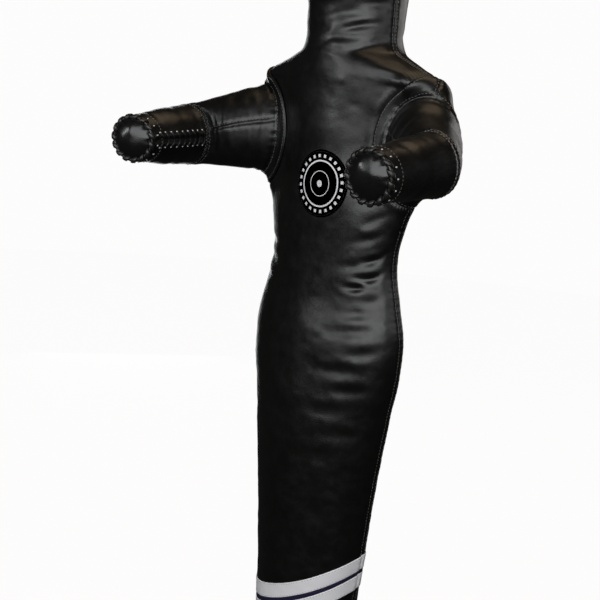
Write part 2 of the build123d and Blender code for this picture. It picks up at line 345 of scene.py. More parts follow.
def along_line(points, normals, pitch, closed=False):
    """Evenly spaced places along a polyline: positions, directions, normals."""
    points, normals = np.asarray(points), np.asarray(normals)
    if closed:
        points = np.concatenate([points, points[:1]])
        normals = np.concatenate([normals, normals[:1]])
    step = np.linalg.norm(np.diff(points, axis=0), axis=1)
    run = np.concatenate([[0], np.cumsum(step)])
    count = max(2, int(run[-1] / pitch))
    at = (np.arange(count) + 0.5) * run[-1] / count

    def pick(values, where):
        return np.stack([np.interp(where, run, values[:, k]) for k in range(3)], 1)

    ahead = pick(points, np.minimum(at + 0.001, run[-1]))
    behind = pick(points, np.maximum(at - 0.001, 0))
    return pick(points, at), ahead - behind, normalise(pick(normals, at))


def stitches(name, lines, material, pitch=STITCH_PITCH, long=STITCH_LONG):
    """Thread stitches along lines given as (points, normals, closed)."""
    rows = []
    for points, ups, closed in lines:
        centres, directions, normals = along_line(points, ups, pitch, closed)
        rows.append((centres + normals * THREAD_R * THREAD_LIFT, directions, normals))
    columns = [np.concatenate(column) for column in zip(*rows)]
    return beads(name, *columns, (long / 2, THREAD_R, THREAD_R), material)


def tube(points, normals, half_wide, half_tall, sides=8, closed=False):
    """Vertices and faces of a strand along points, its flat side facing the normals."""
    if closed:
        d = np.roll(points, -1, 0) - np.roll(points, 1, 0)
    else:
        d = np.gradient(points, axis=0)
    d = normalise(d)
    n = square_to(normals, d)
    side = np.cross(d, n)
    turn = np.arange(sides) * 2 * math.pi / sides
    ring = (
        points[:, None]
        + half_wide * np.cos(turn)[None, :, None] * side[:, None]
        + half_tall * np.sin(turn)[None, :, None] * n[:, None]
    )
    faces = grid_faces(len(points), sides, True)
    last = (len(points) - 1) * sides
    if closed:
        faces += [(last + s, last + (s + 1) % sides, (s + 1) % sides, s) for s in range(sides)]
    else:
        faces += [tuple(reversed(range(sides))), tuple(range(last, last + sides))]
    return ring.reshape(-1, 3), faces


def strands(name, tubes, material):
    """One object from several (vertices, faces)."""
    verts, faces, base = [], [], 0
    for v, f in tubes:
        verts.append(v)
        faces += [tuple(base + i for i in face) for face in f]
        base += len(v)
    return new_object(name, np.concatenate(verts), faces, material)


# ---- materials
def new_material(name):
    material = bpy.data.materials.new(name)
    material.use_nodes = True
    return material, material.node_tree, material.node_tree.nodes["Principled BSDF"]


def set_inputs(node, **values):
    """Set a node's inputs by name, where an underscore stands for a space."""
    for name, value in values.items():
        node.inputs[name.replace("_", " ")].default_value = value


def add_node(tree, kind, **values):
    node = tree.nodes.new(kind)
    set_inputs(node, **values)
    return node


def add_texture(tree, kind, **values):
    """A texture node that follows the object's own coordinates."""
    where = tree.nodes.get("Texture Coordinate") or tree.nodes.new("ShaderNodeTexCoord")
    node = add_node(tree, kind, **values)
    tree.links.new(where.outputs["Object"], node.inputs["Vector"])
    return node


def add_noise(tree, scale, detail, roughness=0.5):
    noise = add_texture(
        tree, "ShaderNodeTexNoise", Scale=scale, Detail=detail, Roughness=roughness
    )
    return noise.outputs["Fac"]


def add_colour(tree, shader, factor, dark, light):
    """Base colour drifting between two shades."""
    mix = tree.nodes.new("ShaderNodeMix")
    mix.data_type = "RGBA"
    set_inputs(mix, A=(*dark, 1), B=(*light, 1))
    tree.links.new(factor, mix.inputs["Factor"])
    tree.links.new(mix.outputs["Result"], shader.inputs["Base Color"])


def add_relief(tree, shader, height, strength, distance):
    relief = add_node(tree, "ShaderNodeBump", Strength=strength, Distance=distance)
    tree.links.new(height, relief.inputs["Height"])
    tree.links.new(relief.outputs["Normal"], shader.inputs["Normal"])


def leather(name, dark, light, rough=(0.34, 0.48), grain=520.0, bump=0.25):
    """Grained leather: pebble cells, pores, cloudy gloss and slight colour drift."""
    material, tree, shader = new_material(name)
    add_colour(tree, shader, add_noise(tree, 9.0, 4.0), dark, light)
    gloss = add_node(
        tree, "ShaderNodeMapRange", From_Min=0.35, From_Max=0.65, To_Min=rough[0], To_Max=rough[1]
    )
    tree.links.new(add_noise(tree, 38.0, 5.0, 0.6), gloss.inputs["Value"])
    tree.links.new(gloss.outputs["Result"], shader.inputs["Roughness"])
    cells = add_texture(tree, "ShaderNodeTexVoronoi", Scale=grain)
    cells.feature = "SMOOTH_F1"
    total = add_node(tree, "ShaderNodeMath")
    total.operation = "ADD"
    tree.links.new(cells.outputs["Distance"], total.inputs[0])
    tree.links.new(add_noise(tree, grain * 0.35, 4.0), total.inputs[1])
    add_relief(tree, shader, total.outputs["Value"], bump, 0.0006)
    return material


def thread(name, dark, light, rough=0.55):
    """Twisted thread: fine slanting ridges."""
    material, tree, shader = new_material(name)
    add_colour(tree, shader, add_noise(tree, 240.0, 2.0), dark, light)
    set_inputs(shader, Roughness=rough)
    ridges = add_texture(tree, "ShaderNodeTexWave", Scale=900.0)
    ridges.bands_direction = "DIAGONAL"
    add_relief(tree, shader, ridges.outputs["Fac"], 0.4, 0.0003)
    return material


BLACK = leather(
    "black_leather", (0.0022, 0.0022, 0.0023), (0.0040, 0.0036, 0.0032), (0.29, 0.39), bump=0.2
)
GLOSSY = leather(
    "glossy_cap_leather", (0.003, 0.003, 0.0033), (0.006, 0.006, 0.0064), (0.18, 0.27), 420, 0.1
)
LACE = leather("lace_leather", (0.006, 0.006, 0.006), (0.016, 0.015, 0.013), (0.26, 0.4), 900)
WHITE = leather(
    "white_leather", (0.82, 0.81, 0.84), (0.90, 0.89, 0.91), (0.38, 0.5), 650, 0.18
)
PATCH = leather("badge_leather", (0.004, 0.003, 0.006), (0.010, 0.008, 0.013), (0.42, 0.55), 800)
PRINT = leather("white_print", (0.72, 0.72, 0.74), (0.8, 0.8, 0.81), (0.4, 0.5), 900, 0.1)
NAVY = leather("navy_edging", (0.010, 0.009, 0.03), (0.02, 0.017, 0.05), (0.35, 0.45), 700)
BOARD = leather("base_board_material", (0.25, 0.17, 0.09), (0.36, 0.25, 0.14), (0.6, 0.8), 300)
THREAD = thread("seam_thread", (0.12, 0.12, 0.115), (0.3, 0.295, 0.28))
# pale beads at lacing holes and lace ends: their pale colour is a painted highlight on the dark lace
PAINTED_HIGHLIGHT_THREAD = thread("pale_painted_highlight", (0.6, 0.59, 0.57), (0.8, 0.79, 0.77), 0.4)
DARK_THREAD = thread("stripe_thread", (0.16, 0.16, 0.12), (0.26, 0.26, 0.18))
CANVAS = thread("ballast_canvas", (0.16, 0.14, 0.11), (0.24, 0.21, 0.17), 0.8)


# ---- trunk surface
section = smooth_rows(SECTIONS)
AROUND = 400  # columns of the trunk's grid
LEVELS_LOW, LEVELS_HIGH = 347, 123  # its rows below and above the height where they come closer
CLOSER_FROM = 1.20
CROWDING = 0.9  # how strongly columns crowd near the side seams, from 0 to 1
CROWN_GAP = 0.0004  # the opening left at the very top, where the grid ends


def trunk_points(t, z):
    """The undented trunk at angles t (0 is the left seam, -90 degrees the front) and heights z."""
    wide, front, behind, seam, square = np.moveaxis(section(z), -1, 0)
    side = np.sin(t)
    x = wide * np.cos(t)
    y = seam + np.where(side < 0, -front * np.abs(side) ** (2 * square), behind * side)
    return np.stack([x, y, z * np.ones_like(x)], -1)


def trunk_level(p):
    """Below 0 inside the trunk, above 0 outside it."""
    wide, front, behind, seam, square = np.moveaxis(section(p[..., 2]), -1, 0)
    away = p[..., 1] - seam
    share = np.where(away < 0, np.abs(away / front) ** (1 / square), (away / behind) ** 2)
    return (p[..., 0] / wide) ** 2 + share - 1


def hole_level(p):
    """About the distance outside the armhole's edge, in metres, for points on the trunk."""
    away = np.abs(p) * np.array([1, 0, 0]) + p * np.array([0, 1, 1]) - np.array(HOLE_CENTRE)
    wide, deep, tall, low = HOLE_RADII
    high = np.where(away[..., 2] > 0, tall, low)
    far = (away[..., 0] / wide) ** 2 + (away[..., 1] / deep) ** 2 + (away[..., 2] / high) ** 2
    return (np.sqrt(far) - 1) * wide


def drawn_in(edge, normals):
    """How far the front panel is drawn in, at a distance from an armhole's edge."""
    fade = np.exp(-((np.maximum(edge, 0) / HOLE_PULL_WIDE) ** 2))
    return HOLE_PULL * fade * np.clip(-normals[..., 1], 0, 1) ** 4


def fold(u, v, depth):
    """A soft crease: u runs along it in half lengths, v across it in widths."""
    return -depth * (1 - 0.75 * v * v) * np.exp(-v * v / 1.5) * np.exp(-u * u * 1.6)


# angle and height of a fold's middle, half length in degrees, width, depth, slant, droop
TRUNK_FOLDS = [
    # neck, front and towards its left
    (-62, 1.392, 34, 0.010, 0.0018, 0.008, -0.006),
    (-48, 1.369, 30, 0.008, 0.0026, 0.011, -0.004),
    (-70, 1.347, 26, 0.008, 0.0020, 0.006, -0.006),
    (-40, 1.333, 26, 0.009, 0.0028, 0.012, -0.004),
    (-105, 1.366, 24, 0.009, 0.0016, -0.004, -0.004),
    (-30, 1.410, 22, 0.010, 0.0022, 0.004, 0.0),
    (-90, 1.330, 24, 0.010, 0.0022, 0.0, -0.008),
    # chest, beside the arms
    (-55, 1.215, 9, 0.016, 0.0016, 0.012, 0.0),
    (-58, 1.120, 10, 0.014, 0.0020, -0.008, 0.0),
    (-46, 1.060, 10, 0.012, 0.0024, 0.008, 0.0),
    (-38, 1.022, 12, 0.011, 0.0015, 0.010, 0.0),
    # waist, its left side
    (-40, 0.986, 17, 0.011, 0.0018, 0.010, 0.003),
    (-31, 0.947, 13, 0.0085, 0.0036, 0.007, 0.004),
    (-52, 0.932, 14, 0.010, 0.0012, 0.003, 0.002),
    (-33, 0.914, 14, 0.0080, 0.0040, 0.006, 0.004),
    (-46, 0.894, 11, 0.0075, 0.0034, 0.004, 0.003),
    (-32, 0.872, 15, 0.011, 0.0018, 0.008, 0.003),
    (-44, 0.847, 17, 0.012, 0.0021, 0.006, 0.002),
    # hip and thigh, softer
    (-50, 0.812, 20, 0.013, 0.0019, 0.006, 0.003),
    (-38, 0.775, 17, 0.013, 0.0022, 0.008, 0.002),
    (-55, 0.735, 20, 0.014, 0.0024, 0.004, 0.003),
    (-44, 0.700, 18, 0.013, 0.0020, 0.006, 0.002),
    (-58, 0.655, 20, 0.014, 0.0018, 0.004, 0.002),
    (-48, 0.612, 18, 0.014, 0.0017, 0.005, 0.0),
    (-62, 0.560, 20, 0.016, 0.0014, 0.004, 0.0),
    # the right side of the waist and the back
    (-150, 0.950, 16, 0.010, 0.0024, -0.006, 0.003),
    (-142, 0.913, 18, 0.011, 0.0026, -0.005, 0.003),
    (-148, 0.878, 15, 0.011, 0.0020, -0.004, 0.002),
    (40, 0.965, 20, 0.010, 0.0036, 0.004, 0.003),
    (95, 0.940, 26, 0.010, 0.0040, 0.002, 0.004),
    (140, 0.955, 20, 0.010, 0.0038, -0.004, 0.003),
    (60, 0.915, 24, 0.010, 0.0042, 0.005, 0.003),
    (120, 0.900, 24, 0.011, 0.0038, -0.004, 0.003),
    (85, 0.865, 24, 0.012, 0.0030, 0.004, 0.003),
    (50, 1.362, 26, 0.009, 0.0028, 0.004, -0.004),
    (110, 1.345, 28, 0.009, 0.0030, -0.004, -0.004),
    (80, 1.388, 26, 0.010, 0.0024, 0.002, -0.004),
    (70, 1.080, 16, 0.014, 0.0018, 0.006, 0.0),
    (118, 1.120, 16, 0.014, 0.0018, -0.006, 0.0),
    # above the laced foot
    (-60, 0.050, 26, 0.008, 0.0014, 0.002, 0.0),
    (-130, 0.062, 22, 0.009, 0.0014, -0.002, 0.0),
    (60, 0.056, 26, 0.009, 0.0014, 0.002, 0.0),
    (130, 0.048, 22, 0.008, 0.0014, 0.0, 0.0),
]


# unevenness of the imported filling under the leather: depth, cells per metre, squeeze in Z, seed
TRUNK_LUMPS = [(0.0016, 13, 1.5, 3), (0.0004, 38, 1.8, 5)]
PORES = (0.00015, 110, 9)
CALM_FROM, CALM_OVER = 1.45, 0.1  # the head is smoother
CROWN_TALL, CROWN_OVER = 0.02, 0.018  # nothing dents the crown
HOLE_SINK, HOLE_SINK_OVER = 0.024, 0.012  # the trunk's skin sinks away under the armhole band
PUCKER_TURN = 0.2  # metres along an armhole's edge for each radian of the trunk


def hump(x, wide):
    return np.exp(-((x / wide) ** 2))


def seam_groove(distance, along):
    """A seam's valley with its small puckers, at a distance from it."""
    pucker = PUCKER_TALL * np.cos(2 * math.pi * along / PUCKER_PITCH) * hump(distance, PUCKER_WIDE)
    lip = LIP_TALL * hump(distance - LIP_AWAY, LIP_WIDE)
    return -SEAM_DEPTH * hump(distance, SEAM_WIDTH) + lip + pucker


def build_trunk():
    """Angles and heights of a grid over the whole trunk, left seam first, its points and normals."""
    z = np.concatenate([
        np.linspace(COVER_LOW, CLOSER_FROM, LEVELS_LOW),
        np.linspace(CLOSER_FROM, HEIGHT - CROWN_GAP, LEVELS_HIGH + 1)[1:],
    ])
    even = np.linspace(0, 1, AROUND // 2 + 1)
    half = -math.pi * (even - CROWDING * np.sin(2 * math.pi * even) / (2 * math.pi))
    t = np.concatenate([half, half[1:-1] - math.pi])
    tt, zz = np.meshgrid(t, z)
    base = trunk_points(tt, zz)
    normals = -grid_normals(base, True)
    wide, seam = section(zz)[..., 0], section(zz)[..., 3]
    dent = seam_groove(np.hypot(np.abs(np.abs(base[..., 0]) - wide), base[..., 1] - seam), zz)
    signed = np.where(tt < -math.pi, tt + 2 * math.pi, tt)
    creases = np.zeros_like(tt)
    for angle, height, reach, width, depth, slant, droop in TRUNK_FOLDS:
        u = (signed - math.radians(angle)) / math.radians(reach)
        creases += fold(u, (zz - (height + slant * u + droop * u * u)) / width, depth)
    dent = dent + creases
    calm = 1 - ease((zz - CALM_FROM) / CALM_OVER)
    for depth, scale, squeeze, seed in TRUNK_LUMPS:
        dent = dent + calm * depth * lattice(base * np.array([1, 1, squeeze]), scale, seed)
    dent = dent + PORES[0] * lattice(base, *PORES[1:])
    crown = 1 - ease((zz - (HEIGHT - CROWN_TALL)) / CROWN_OVER)
    edge = hole_level(base)
    dent = (dent - drawn_in(edge, normals)) * crown
    dent = dent + seam_groove(np.abs(edge), tt * PUCKER_TURN) - HOLE_SINK * ease(-edge / HOLE_SINK_OVER)
    points = base + normals * dent[..., None]
    return t, z, points, -grid_normals(points, True)


TRUNK_T, TRUNK_Z, TRUNK_P, TRUNK_N = build_trunk()
HALF = AROUND // 2  # columns 0..HALF are the front panel, HALF..end and 0 the back


def trunk_at(t, z):
    """Dented points and normals at angles t in radians and heights z."""
    c, u = bracket(np.append(-TRUNK_T, 2 * math.pi), np.mod(-t, 2 * math.pi))
    place = (*bracket(TRUNK_Z, z), c, (c + 1) % AROUND, u)
    return between(TRUNK_P, *place), normalise(between(TRUNK_N, *place))


def angle_for(x, z, front=True):
    """The trunk angle at which a panel has this x, at height z."""
    t = -np.arccos(np.clip(x / section(z)[..., 0], -1, 1))
    return t if front else -t - 2 * math.pi


# ---- trunk pieces
# part, its CAD nodes' name, bottom, top, how far its stitching keeps off them, bodies, bend
TRUNK_PARTS = [
    ("lower", "leg", COVER_LOW, LOWER_TOP, (0.012, 0.002), ("leg", "torso"), WAIST_BEND),
    ("chest", "torso", LOWER_TOP, CHEST_TOP, (0.002, 0.002), ("torso",), None),
    ("head", "head", CHEST_TOP, HEIGHT, (0.002, 0.03), ("torso", "head"), NECK_BEND),
]
PANEL_COLUMNS = {
    "front": np.arange(HALF, -1, -1),
    "back": np.append(0, np.arange(AROUND - 1, HALF - 1, -1)),
}


def make_trunk_covers():
    for part, node, low, high, _ends, bodies, bend in TRUNK_PARTS:
        first, last = np.searchsorted(TRUNK_Z, (low, high))
        for panel, columns in PANEL_COLUMNS.items():
            points, normals = (grid[first:last + 1, columns] for grid in (TRUNK_P, TRUNK_N))
            obj = closed_sheet(f"{part}_{panel}_leather", points, False, BLACK, normals, THICK)
            inside = [node + "_filling"] if panel == "front" else []
            settle(obj, bodies, bend, "cover_leather", [f"{node}_{panel}_cover", *inside])


def settle(obj, bodies, bend, slot, stands_for=()):
    """Ride a piece on its first body, or where it bends only bake its place into its mesh; hide the CAD
    nodes that it stands for. The slot is not used.
    """
    if bend is None:
        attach(obj, bodies[0])
    else:
        start, end = (point if hasattr(point, "__len__") else (0, 0, point) for point in bend)
        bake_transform(obj)
    if stands_for:
        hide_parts(*stands_for)


def ride(obj, body, slot, *stands_for):
    settle(obj, (body,), None, slot, stands_for)


def make_trunk_stitching():
    """A line of stitches on either side of each side seam."""
    for part, _node, low, high, (below, above), bodies, bend in TRUNK_PARTS:
        z = np.arange(low + below, high - above, 0.003)
        lines = []
        for depth, sign in ((section(z)[..., 1], -1), (section(z)[..., 2], 1)):
            t = sign * np.arcsin(STITCH_AWAY / depth)
            lines += [(*trunk_at(turn, z), False) for turn in (t, -math.pi - t)]
        settle(stitches(f"{part}_seam_stitching", lines, THREAD), bodies, bend, "thread")


def band_height(t, base_z):
    """Height on the trunk where a slanting plane crosses it at angles t."""
    z = np.full_like(t, base_z)
    for _ in range(12):
        p, _n = trunk_at(t, z)
        z = base_z + STRIPE_SLOPE[0] * p[:, 0] + STRIPE_SLOPE[1] * p[:, 1]
    return z


def leg_band(name, t, heights, lifts, material, thick):
    """A band of leather round the leg: its rows' heights, and how far each lies off the skin."""
    grid = []
    for height, lift in zip(heights, lifts):
        p, n = trunk_at(t, height)
        grid.append(p + n * lift)
    grid = np.array(grid)[::-1]
    facing = -grid_normals(grid, True)[:, ::-1]
    return closed_sheet(name, grid[:, ::-1], True, material, facing, thick)


def make_stripes():
    """Two bands of white leather with dark edging between them."""
    t = -around(STRIPE_STEPS)
    edge = band_height(t, STRIPE_TOP)
    # shares across a band, where it rounds down to its edges and dips along its two stitched lines
    across = np.concatenate([[0, 0.012, 0.035], np.linspace(0.07, 0.93, 13), [0.965, 0.988, 1]])
    swell = np.minimum(1, np.minimum(across, 1 - across) / 0.035) ** 0.5
    dips = sum(hump(across - share, 0.02) for share in STRIPE_SEAMS)
    lifts = SKIN_GAP + (STRIPE_SWELL * swell - STRIPE_DIP * dips)
    for k, name in enumerate(("stripe_upper", "stripe_lower")):
        top = edge - k * (STRIPE_TALL + STRIPE_SPACE)
        heights = [top - share * STRIPE_TALL for share in across]
        obj = leg_band(name + "_leather", t, heights, lifts, WHITE, STRIPE_THICK)
        ride(obj, "leg", "white_leather", name)
        lines = []
        for share in STRIPE_SEAMS:
            p, n = trunk_at(t, top - share * STRIPE_TALL)
            lines.append((p + n * STRIPE_THICK, n, True))
        ride(stitches(name + "_stitching", lines, DARK_THREAD), "leg", "thread")
    across = np.linspace(0.08, 0.92, 7)
    heights = [edge - STRIPE_TALL - share * STRIPE_SPACE for share in across]
    lifts = SKIN_GAP + EDGING_THICK * np.sin(math.pi * across) ** 0.5
    obj = leg_band("stripe_edging", t, heights, lifts, NAVY, EDGING_THICK)
    ride(obj, "leg", "cover_leather")


def chest_patch(radii, angles, lift):
    """Grid on the chest round the badge's centre."""
    rr, aa = np.meshgrid(radii, angles, indexing="ij")
    x, z = BADGE_X + rr * np.cos(aa), BADGE_Z + rr * np.sin(aa)
    p, n = trunk_at(angle_for(x, z), z)
    return p + n * np.asarray(lift)[:, None, None], n


def make_badge():
    """A round patch with printed rings and dashes, stitched down round its edge."""
    turn = around(120)
    radii = np.concatenate([np.linspace(0.0005, 0.0585, 24), [0.0605, 0.062, 0.0630, BADGE_R]])
    lift = [0.0018] * 24 + [0.0021, 0.0020, 0.0015, 0.0]
    grid, n = chest_patch(radii, turn, lift)
    obj = closed_sheet("chest_badge_patch", grid, True, PATCH, n, 0.0012)
    ride(obj, "torso", "badge", "chest_badge")
    print_parts = []
    for inner, outer in BADGE_RINGS:
        points, _n = chest_patch([inner, (inner + outer) / 2, outer], turn, [0.0020, 0.0022, 0.0020])
        print_parts.append((points.reshape(-1, 3), grid_faces(3, len(turn), True)))
    for k in range(BADGE_DASHES):
        middle = 2 * math.pi * (k + 0.5) / BADGE_DASHES
        arc = np.linspace(middle - DASH_HALF, middle + DASH_HALF, 7)
        points, _n = chest_patch(DASH_RADII, arc, [0.0021, 0.0021])
        print_parts.append((points.reshape(-1, 3), grid_faces(2, 7, False)))
    ride(strands("chest_badge_print", print_parts, PRINT), "torso", "print_white")
    edge, up = chest_patch([0.0600], turn, [0.0019])
    obj = stitches("chest_badge_stitching", [(edge[0], up[0], True)], LACE, pitch=0.0042, long=0.003)
    ride(obj, "torso", "thread")


# ---- laced openings
BACK_SLIT = (1.052, 1.222)  # its bottom and top
WELT_HALF = 0.0024
BACK_STITCH_AWAY = 0.014
LACE_HALF, LACE_BITE = (0.0050, 0.0021), 0.0014  # a rim's lace, and how deep it sits in its cord
GATHERS, GATHER_TALL = 15, 0.0009  # round an end disc's edge


def herringbone(surface, length, half, pitch, apex, half_wide, half_tall):
    """Lace in chevrons along a slit, and where and how its pale beads of painted highlight lie.

    surface(along, across) gives points and normals; half is half the lace's spread, apex how far
    ahead of its ends a chevron points.
    """
    tubes, highlight_beads = [], []
    share = np.linspace(0, 1, 9)
    arch = half_tall * (0.6 + 1.1 * np.sin(math.pi * (share * 0.9 + 0.05)))
    sink = np.where((share < 0.06) | (share > 0.95), -0.0012, 0.0)
    for k in range(int(length / pitch) + 1):
        along = k * pitch
        for side in (-half, half):
            points, normals = surface(along + apex * share, side * (1 - share))
            lifted = points + normals * (arch + sink)[:, None]
            tubes.append(tube(lifted, normals, half_wide, half_tall))
            # where the lace goes into a hole; the pale bead put here is a painted highlight on the lace
            p, n = surface(np.array([along, along + 0.001]), np.array([side, side]))
            highlight_beads.append((p[0] + n[0] * 0.0006, p[1] - p[0], n[0]))
    return tubes, [np.array(column) for column in zip(*highlight_beads)]


def make_back_lacing():
    low, high = BACK_SLIT

    def surface(along, across):
        z = low + along
        return trunk_at(angle_for(across, z, front=False), z)

    tubes, highlight_beads = herringbone(surface, high - low - 0.012, 0.009, 0.0145, 0.006, 0.0016, 0.0010)
    obj = strands("back_lacing_strands", tubes, LACE)
    ride(obj, "torso", "lacing", "torso_back_lacing")
    # pale beads at the holes: painted highlights where the dark lace comes out
    obj = beads("back_lacing_highlight_beads", *highlight_beads, (0.0014, 0.0014, 0.0008), PAINTED_HIGHLIGHT_THREAD)
    ride(obj, "torso", "thread")
    along = np.linspace(-0.012, high - low + 0.006, 60)
    grid = []
    for across in np.linspace(-WELT_HALF, WELT_HALF, 7):
        p, n = surface(along, np.full_like(along, across))
        grid.append(p + n * (0.0006 - 0.0010 * math.cos(across / WELT_HALF * math.pi / 2)))
    grid = np.array(grid)
    obj = closed_sheet("back_slit_welt", grid, False, LACE, grid_normals(grid, False), 0.001)
    ride(obj, "torso", "cap_leather", "torso_back_tongue")
    lines = []
    for across in (-BACK_STITCH_AWAY, BACK_STITCH_AWAY):
        lines.append((*surface(along, np.full_like(along, across)), False))
    ride(stitches("back_slit_stitching", lines, THREAD), "torso", "thread")


# ---- arms: shaped as the left arm, mirrored for the right
PHI = around(192)  # 0 is the outer side, 90 the top, 180 degrees the inner side
SEAM_PHI = math.radians(180 - 12)  # lengthwise seam of the upper sleeve
BAND_JOINT_PHI = math.radians(78)  # where the band's two halves meet, on the shoulder
BAND_THICK = 0.0022
PUFF_PHI, PUFF_WIDE, PUFF_TALL = math.radians(70), 0.7, 0.010  # the band's fullness on the shoulder
SLIT_DEPTH, SLIT_LIP = 0.0026, 0.0012
SLIT_FROM, SLIT_TO = (1.05, 0.05), (1.95, 0.03)  # shares of the arm, and how far it fades in
ARM_R = 0.07  # about a sleeve's radius, which spaces the puckers of its seams
BAND_R, UPPER_R, FORE_R = 0.1, 0.062, 0.052  # radii that turn angles about the arm into lengths
ELBOW_GROOVE, LONG_GROOVE = 1.2, 0.8  # how deep these seams are beside the others
ELBOW_LIP, ELBOW_LIP_AWAY, ELBOW_LIP_WIDE = 0.0010, 0.012, 0.010
ARM_LUMPS, ARM_PORES = (0.0010, 20, 21), (0.0003, 60, 23)  # depth, cells per metre, seed
UPPER_ROWS, FORE_ROWS, BAND_ROWS = 50, 60, 22
ROOT_ROW = BAND_ROWS - 1
ELBOW_ROW = ROOT_ROW + UPPER_ROWS - 1
arm_size = smooth_rows([
    # share of the arm (1 elbow seam, 2 stump), half width, half height
    (0.0, ROOT_HALF[0], ROOT_HALF[1]),
    (0.25, 0.0675, 0.0800),
    (0.60, 0.0640, 0.0700),
    (1.0, 0.0590, 0.0605),
    (1.2, 0.0590, 0.0590),
    (1.5, 0.0560, 0.0560),
    (1.8, 0.0490, 0.0490),
    (2.0, STUMP_R, STUMP_R),
])

ARM_FOLDS = [
    # angle about the arm, share along it, half length in degrees, width, depth, slant
    (180, 0.84, 46, 0.050, 0.0022, 0.02),
    (168, 0.92, 52, 0.040, 0.0024, -0.01),
    (192, 1.07, 50, 0.045, 0.0028, 0.01),
    (172, 1.17, 42, 0.050, 0.0018, 0.03),
    (150, 0.70, 40, 0.060, 0.0014, 0.05),
    (215, 0.62, 40, 0.060, 0.0016, -0.05),
    (178, 0.13, 60, 0.050, 0.0022, 0.0),
    (170, 0.27, 48, 0.060, 0.0016, 0.03),
    (120, 0.42, 34, 0.070, 0.0012, 0.06),
    (95, 1.35, 40, 0.060, 0.0011, 0.04),
    (265, 1.42, 40, 0.060, 0.0012, -0.04),
    (60, 1.62, 34, 0.070, 0.0010, 0.05),
    (320, 1.55, 34, 0.070, 0.0010, -0.05),
    (110, 1.80, 34, 0.050, 0.0010, 0.0),
    (240, 1.82, 34, 0.050, 0.0010, 0.0),
    (85, 0.12, 40, 0.060, 0.0014, 0.03),
    (275, 0.14, 40, 0.060, 0.0016, -0.03),
]


def path(p0, m0, p1, m1, count):
    """Points on the curve from p0 to p1 with end slopes m0 and m1, along the first axis."""
    return cubic(p0, m0, p1, m1, np.linspace(0, 1, count).reshape((-1,) + (1,) * np.ndim(p0)))


def turn_from(angle, phi):
    """Signed angle between phi and an angle about the arm."""
    return np.mod(phi - angle + math.pi, 2 * math.pi) - math.pi


def hole_loop():
    """The armhole's edge, where the spheroid meets the trunk, by angle about the arm."""
    low, high = np.zeros(len(PHI)), np.full(len(PHI), math.radians(150))
    wide, deep, above, below = HOLE_RADII
    tall = np.where(np.sin(PHI) > 0, above, below)

    def reach(angle):
        side, lift = np.sin(angle) * np.cos(PHI), np.sin(angle) * np.sin(PHI)
        return np.array(HOLE_CENTRE) + np.stack([-wide * np.cos(angle), deep * side, tall * lift], 1)

    for _ in range(40):
        middle = (low + high) / 2
        inside = trunk_level(reach(middle)) < 0
        low, high = np.where(inside, middle, low), np.where(inside, high, middle)
    return reach(low)


def arm_skin(shape):
    """Smooth sleeve sections [row, angle] and the arm's centre line."""
    elbow, stump, elbow_way, disc_way, slim = shape
    root, elbow, stump = (np.array(place) for place in (ROOT_CENTRE, elbow, stump))
    bend, disc = normalise(np.array(elbow_way)), normalise(np.array(disc_way))
    span_upper, span_fore = np.linalg.norm(elbow - root), np.linalg.norm(stump - elbow)
    leave = normalise(np.array(ROOT_WAY)) * span_upper
    first = path(root, leave, elbow, normalise(elbow - root) * span_upper, UPPER_ROWS)
    straight = normalise(stump - elbow) * span_fore
    second = path(elbow, bend * span_fore, stump, straight, FORE_ROWS)
    line = np.concatenate([first, second[1:]])
    share = np.concatenate([np.linspace(0, 1, UPPER_ROWS), np.linspace(1, 2, FORE_ROWS)[1:]])
    way = normalise(np.gradient(line, axis=0))
    at_elbow = ease(share)[:, None]
    at_end = ease((share - 1.25) / 0.75)[:, None]
    facing = normalise(np.array(ROOT_FACING) * (1 - at_elbow) + bend * at_elbow)
    facing = normalise(facing + way * 0.7 * np.sin(math.pi * np.clip(share, 0, 1))[:, None])
    facing = normalise(disc * at_end + facing * (1 - at_end))
    across = normalise(np.cross(np.array([0, 0, 1.0]), facing)) * -1
    across = across * np.sign((across * np.array([1, 0.4, 0])).sum(1, keepdims=True))
    up = normalise(np.cross(facing, across))
    up = up * np.sign(up[:, 2:])
    about_elbow = ease((share - 0.1) / 0.4) * (1 - ease((share - 1.6) / 0.4))
    size = arm_size(share) * (1 - slim * about_elbow)[:, None]
    skin = (
        line[:, None]
        + size[:, :1, None] * np.cos(PHI)[None, :, None] * across[:, None]
        + size[:, 1:, None] * np.sin(PHI)[None, :, None] * up[:, None]
    )
    return share, line, skin


def band_rows(skin):
    """Rows of the armhole band, from the trunk's skin to the sleeve's seam."""
    start, end = hole_loop(), skin[0]
    span = np.linalg.norm(end - start, axis=1, keepdims=True)
    out = np.zeros_like(start)
    for axis in np.eye(3):
        step = axis * 5e-4
        out += axis * (trunk_level(start + step) - trunk_level(start - step))[:, None]
    out = normalise(out)
    start = start - out * drawn_in(np.zeros(len(out)), out)[:, None]
    gap = end - start
    leave = square_to(gap, out) * span * 0.9
    arrive = normalise(normalise(skin[2] - skin[0]) * 0.5 + normalise(gap) * 0.5) * span * 0.8
    return path(start, leave, end, arrive, BAND_ROWS)


